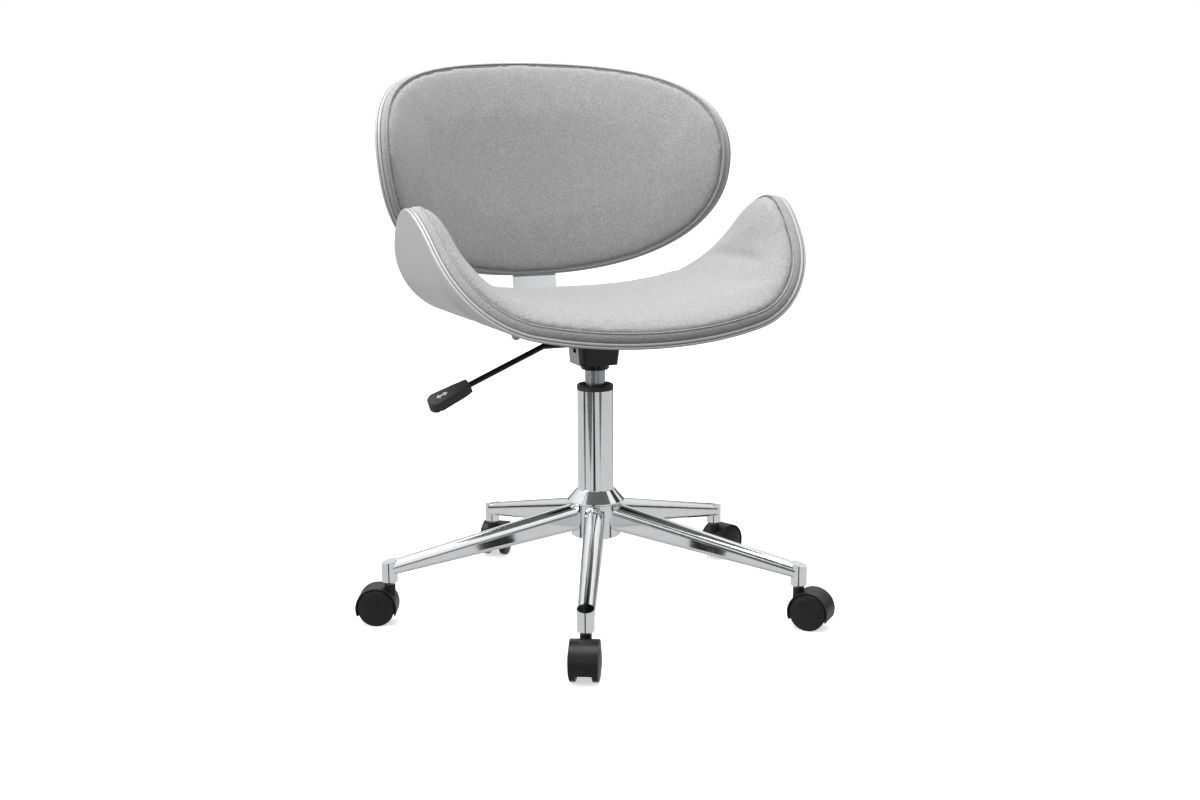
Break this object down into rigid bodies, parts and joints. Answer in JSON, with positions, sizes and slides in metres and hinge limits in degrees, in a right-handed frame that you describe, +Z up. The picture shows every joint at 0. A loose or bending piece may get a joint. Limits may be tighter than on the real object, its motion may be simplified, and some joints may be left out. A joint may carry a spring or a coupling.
{
  "type": "swivel chair",
  "caption": "Armless swivel desk chair: two bent, upholstered shells on a gas-lift column with a height lever and a star base on twin-wheel castors.",
  "frame": {"origin": "on the floor, on the column's axis", "axes": "+Z up; the sitter faces -Y; the height lever points to -X"},
  "size_m": [0.6466, 0.6504, 0.7569],
  "materials": {
    "chrome": "polished chrome plate",
    "zinc_steel": "zinc plated",
    "plastic": "fine spark texture",
    "castor_plastic": "satin moulded nylon",
    "black_enamel": "gloss black stove enamel",
    "cylinder_steel": "ground and chromated",
    "rubber": "matt",
    "lacquered_ply": "light grey satin lacquer on bent plywood",
    "wool_fabric": "grey melange woven wool"
  },
  "bodies": {
    "base": {"base_hub": "chrome", "leg_1": "chrome", "leg_2": "chrome", "leg_3": "chrome", "leg_4": "chrome", "leg_5": "chrome", "stem_sleeves": "plastic", "castor_stems": "zinc_steel", "column_tube": "chrome", "column_collar": "plastic", "guide_bush": "plastic", "bearing_washers": "zinc_steel", "thrust_bearing": "zinc_steel", "stop_buffer": "rubber"},
    "piston": {"piston_rod": "zinc_steel", "retaining_clip": "zinc_steel", "piston_head": "cylinder_steel"},
    "seat": {"gas_cylinder": "cylinder_steel", "rod_seal": "rubber", "valve_block": "cylinder_steel", "taper_cone": "black_enamel", "mechanism_pan": "black_enamel", "seat_plate": "black_enamel", "lever_guide": "zinc_steel", "lever_pin": "zinc_steel", "seat_shell": "lacquered_ply", "seat_pad": "wool_fabric", "seat_spacers": "rubber", "seat_bolts": "zinc_steel", "seat_tee_nuts": "zinc_steel", "pad_screws": "zinc_steel", "back_bar": "chrome", "back_shell": "lacquered_ply", "back_pad": "wool_fabric", "back_bolts": "zinc_steel", "back_tee_nuts": "zinc_steel"},
    "lever": {"lever_rod": "black_enamel", "lever_paddle": "plastic"},
    "valve": {"valve_pin": "zinc_steel"},
    "castor_1": {"castor_hood_1": "castor_plastic", "castor_axle_1": "zinc_steel"},
    "wheel_1_a": {"wheel_1_a": "castor_plastic"},
    "wheel_1_b": {"wheel_1_b": "castor_plastic"},
    "castor_2": {"castor_hood_2": "castor_plastic", "castor_axle_2": "zinc_steel"},
    "wheel_2_a": {"wheel_2_a": "castor_plastic"},
    "wheel_2_b": {"wheel_2_b": "castor_plastic"},
    "castor_3": {"castor_hood_3": "castor_plastic", "castor_axle_3": "zinc_steel"},
    "wheel_3_a": {"wheel_3_a": "castor_plastic"},
    "wheel_3_b": {"wheel_3_b": "castor_plastic"},
    "castor_4": {"castor_hood_4": "castor_plastic", "castor_axle_4": "zinc_steel"},
    "wheel_4_a": {"wheel_4_a": "castor_plastic"},
    "wheel_4_b": {"wheel_4_b": "castor_plastic"},
    "castor_5": {"castor_hood_5": "castor_plastic", "castor_axle_5": "zinc_steel"},
    "wheel_5_a": {"wheel_5_a": "castor_plastic"},
    "wheel_5_b": {"wheel_5_b": "castor_plastic"}
  },
  "joints": [
    {"name": "seat_swivel", "type": "hinge", "parent": "base", "child": "piston", "pos_m": [0, 0, 0.11], "axis": [0, 0, 1], "continuous": true},
    {"name": "height_slide", "type": "slide", "parent": "piston", "child": "seat", "axis": [0, 0, 1], "range_m": [0, 0.12]},
    {"name": "lever_pull", "type": "hinge", "parent": "seat", "child": "lever", "pos_m": [-0.0335, 0, 0.3754], "axis": [0, 1, 0], "range_deg": [0, 6], "stiffness_Nm_per_rad": 4, "springref_deg": -11.46},
    {"name": "valve_press", "type": "slide", "parent": "seat", "child": "valve", "axis": [0, 0, -1], "range_m": [0, 0.0036]},
    {"name": "castor_swivel_1", "type": "hinge", "parent": "base", "child": "castor_1", "pos_m": [-0.12425, -0.26524, 0.045], "axis": [0, 0, 1], "continuous": true},
    {"name": "wheel_spin_1_a", "type": "hinge", "parent": "castor_1", "child": "wheel_1_a", "pos_m": [-0.13256, -0.28121, 0.025], "axis": [0.887, -0.4617, 0], "continuous": true},
    {"name": "wheel_spin_1_b", "type": "hinge", "parent": "castor_1", "child": "wheel_1_b", "pos_m": [-0.13256, -0.28121, 0.025], "axis": [0.887, -0.4617, 0], "continuous": true},
    {"name": "castor_swivel_2", "type": "hinge", "parent": "base", "child": "castor_2", "pos_m": [0.21386, -0.20013, 0.045], "axis": [0, 0, 1], "continuous": true},
    {"name": "wheel_spin_2_a", "type": "hinge", "parent": "castor_2", "child": "wheel_2_a", "pos_m": [0.22614, -0.2133, 0.025], "axis": [0.7314, 0.682, 0], "continuous": true},
    {"name": "wheel_spin_2_b", "type": "hinge", "parent": "castor_2", "child": "wheel_2_b", "pos_m": [0.22614, -0.2133, 0.025], "axis": [0.7314, 0.682, 0], "continuous": true},
    {"name": "castor_swivel_3", "type": "hinge", "parent": "base", "child": "castor_3", "pos_m": [0.25642, 0.14155, 0.045], "axis": [0, 0, 1], "continuous": true},
    {"name": "wheel_spin_3_a", "type": "hinge", "parent": "castor_3", "child": "wheel_3_a", "pos_m": [0.27311, 0.1483, 0.025], "axis": [-0.3746, 0.9272, 0], "continuous": true},
    {"name": "wheel_spin_3_b", "type": "hinge", "parent": "castor_3", "child": "wheel_3_b", "pos_m": [0.27311, 0.1483, 0.025], "axis": [-0.3746, 0.9272, 0], "continuous": true},
    {"name": "castor_swivel_4", "type": "hinge", "parent": "base", "child": "castor_4", "pos_m": [-0.05539, 0.28762, 0.045], "axis": [0, 0, 1], "continuous": true},
    {"name": "wheel_spin_4_a", "type": "hinge", "parent": "castor_4", "child": "wheel_4_a", "pos_m": [-0.04455, 0.30199, 0.025], "axis": [-0.7986, 0.6018, 0], "continuous": true},
    {"name": "wheel_spin_4_b", "type": "hinge", "parent": "castor_4", "child": "wheel_4_b", "pos_m": [-0.04455, 0.30199, 0.025], "axis": [-0.7986, 0.6018, 0], "continuous": true},
    {"name": "castor_swivel_5", "type": "hinge", "parent": "base", "child": "castor_5", "pos_m": [-0.29065, 0.0362, 0.045], "axis": [0, 0, 1], "continuous": true},
    {"name": "wheel_spin_5_a", "type": "hinge", "parent": "castor_5", "child": "wheel_5_a", "pos_m": [-0.30721, 0.04326, 0.025], "axis": [-0.3923, -0.9198, 0], "continuous": true},
    {"name": "wheel_spin_5_b", "type": "hinge", "parent": "castor_5", "child": "wheel_5_b", "pos_m": [-0.30721, 0.04326, 0.025], "axis": [-0.3923, -0.9198, 0], "continuous": true}
  ],
  "couplings": [
    {"joint": "valve_press", "follows": "lever_pull", "m_per_rad": 0.0335}
  ]
}
